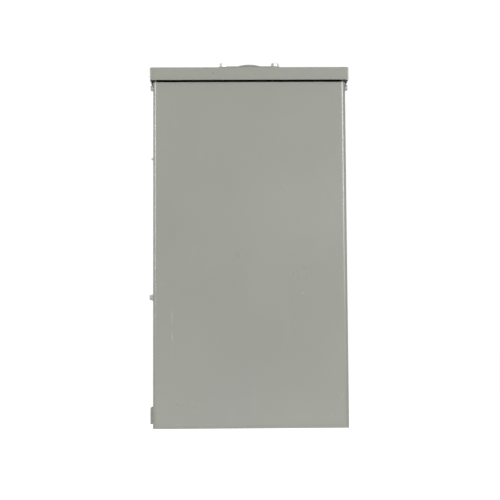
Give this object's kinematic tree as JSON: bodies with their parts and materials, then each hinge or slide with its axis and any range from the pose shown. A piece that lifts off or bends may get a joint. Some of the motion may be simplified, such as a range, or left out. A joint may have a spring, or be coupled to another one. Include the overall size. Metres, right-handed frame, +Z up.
{
  "type": "residential load center",
  "caption": "Wall-mounted outdoor electrical load center: rain hood, lift-up door, dead front, bus, main and branch breakers.",
  "frame": {"origin": "centre of the four wall mounting holes, on the wall plane", "axes": "+X right seen from the front, -Y out of the door towards the user, +Z up; the wall is at y = 0"},
  "size_m": [0.3792, 0.1313, 0.7002],
  "materials": {
    "enamel": "satin grey enamel over steel",
    "inner_enamel": "satin grey enamel on the inner cover",
    "zinc": "bright zinc plate",
    "galvanized": "galvanized sheet",
    "tinned_bus": "tin plate",
    "lug_aluminium": "machined aluminium",
    "black_moulding": "fine moulded texture",
    "handle_plastic": "semi-gloss",
    "insulator_plastic": "glass-filled moulding",
    "nylon": "natural nylon",
    "gasket_rubber": "closed-cell seal",
    "card": "blank printed card",
    "green_zinc": "green dyed screw"
  },
  "bodies": {
    "enclosure": {"box_wrap": "enamel", "bottom_end_wall": "enamel", "rain_hood": "enamel", "hub_gasket": "gasket_rubber", "hub_closure_plate": "enamel", "hub_plate_screws": "zinc", "box_seal_loop": "enamel", "hinge_pivot_screws": "zinc", "hinge_spacers": "zinc", "hinge_nuts": "zinc", "door_retaining_screw": "zinc", "deadfront": "inner_enamel", "deadfront_screws": "zinc", "deadfront_brackets_left": "galvanized", "deadfront_brackets_right": "galvanized", "interior_pan": "galvanized", "pan_screws": "zinc", "bus_insulator": "insulator_plastic", "bus_bar_left": "tinned_bus", "bus_bar_right": "tinned_bus", "bus_bolts": "zinc", "breaker_rail_left": "galvanized", "breaker_rail_right": "galvanized", "main_breaker_case": "black_moulding", "main_breaker_lugs": "lug_aluminium", "main_lug_screws": "zinc", "neutral_bar_left": "lug_aluminium", "neutral_bar_right": "lug_aluminium", "neutral_bar_screws": "zinc", "neutral_supports": "insulator_plastic", "neutral_strap": "tinned_bus", "neutral_lug": "lug_aluminium", "neutral_lug_screw": "zinc", "bonding_screw": "green_zinc", "ground_bar": "lug_aluminium", "ground_bar_screws": "zinc", "ground_bar_mounts": "galvanized", "branch_terminal_screws": "zinc", "branch_left_1_case": "black_moulding", "branch_left_2_case": "black_moulding", "branch_left_3_case": "black_moulding", "branch_left_4_case": "black_moulding", "branch_right_1_case": "black_moulding", "branch_right_2_case": "black_moulding", "branch_right_3_case": "black_moulding", "branch_right_4_case": "black_moulding"},
    "door": {"door": "enamel", "door_pad": "nylon", "door_pad_rivet": "zinc", "door_seal_loop": "enamel", "circuit_directory": "card"},
    "main_handle": {"main_breaker_handle": "handle_plastic"},
    "branch_left_1_handle_body": {"branch_left_1_handle": "handle_plastic"},
    "branch_left_2_handle_body": {"branch_left_2_handle": "handle_plastic"},
    "branch_left_3_handle_body": {"branch_left_3_handle": "handle_plastic"},
    "branch_left_4_handle_body": {"branch_left_4_handle": "handle_plastic"},
    "branch_right_1_handle_body": {"branch_right_1_handle": "handle_plastic"},
    "branch_right_2_handle_body": {"branch_right_2_handle": "handle_plastic"},
    "branch_right_3_handle_body": {"branch_right_3_handle": "handle_plastic"},
    "branch_right_4_handle_body": {"branch_right_4_handle": "handle_plastic"}
  },
  "joints": [
    {"name": "door_lift", "type": "hinge", "parent": "enclosure", "child": "door", "pos_m": [0, -0.113, 0.302], "axis": [-1, 0, 0], "range_deg": [0, 90]},
    {"name": "main_switch", "type": "hinge", "parent": "enclosure", "child": "main_handle", "pos_m": [0, -0.084, 0.212], "axis": [1, 0, 0], "range_deg": [0, 36]},
    {"name": "branch_left_1_switch", "type": "hinge", "parent": "enclosure", "child": "branch_left_1_handle_body", "pos_m": [-0.037, -0.086, 0.1073], "axis": [0, 0, -1], "range_deg": [0, 36]},
    {"name": "branch_left_2_switch", "type": "hinge", "parent": "enclosure", "child": "branch_left_2_handle_body", "pos_m": [-0.037, -0.086, 0.0692], "axis": [0, 0, -1], "range_deg": [0, 36]},
    {"name": "branch_left_3_switch", "type": "hinge", "parent": "enclosure", "child": "branch_left_3_handle_body", "pos_m": [-0.037, -0.086, 0.0438], "axis": [0, 0, -1], "range_deg": [0, 36]},
    {"name": "branch_left_4_switch", "type": "hinge", "parent": "enclosure", "child": "branch_left_4_handle_body", "pos_m": [-0.037, -0.086, 0.0184], "axis": [0, 0, -1], "range_deg": [0, 36]},
    {"name": "branch_right_1_switch", "type": "hinge", "parent": "enclosure", "child": "branch_right_1_handle_body", "pos_m": [0.037, -0.086, 0.1073], "axis": [0, 0, 1], "range_deg": [0, 36]},
    {"name": "branch_right_2_switch", "type": "hinge", "parent": "enclosure", "child": "branch_right_2_handle_body", "pos_m": [0.037, -0.086, 0.0565], "axis": [0, 0, 1], "range_deg": [0, 36]},
    {"name": "branch_right_3_switch", "type": "hinge", "parent": "enclosure", "child": "branch_right_3_handle_body", "pos_m": [0.037, -0.086, 0.0184], "axis": [0, 0, 1], "range_deg": [0, 36]},
    {"name": "branch_right_4_switch", "type": "hinge", "parent": "enclosure", "child": "branch_right_4_handle_body", "pos_m": [0.037, -0.086, -0.007], "axis": [0, 0, 1], "range_deg": [0, 36]}
  ]
}
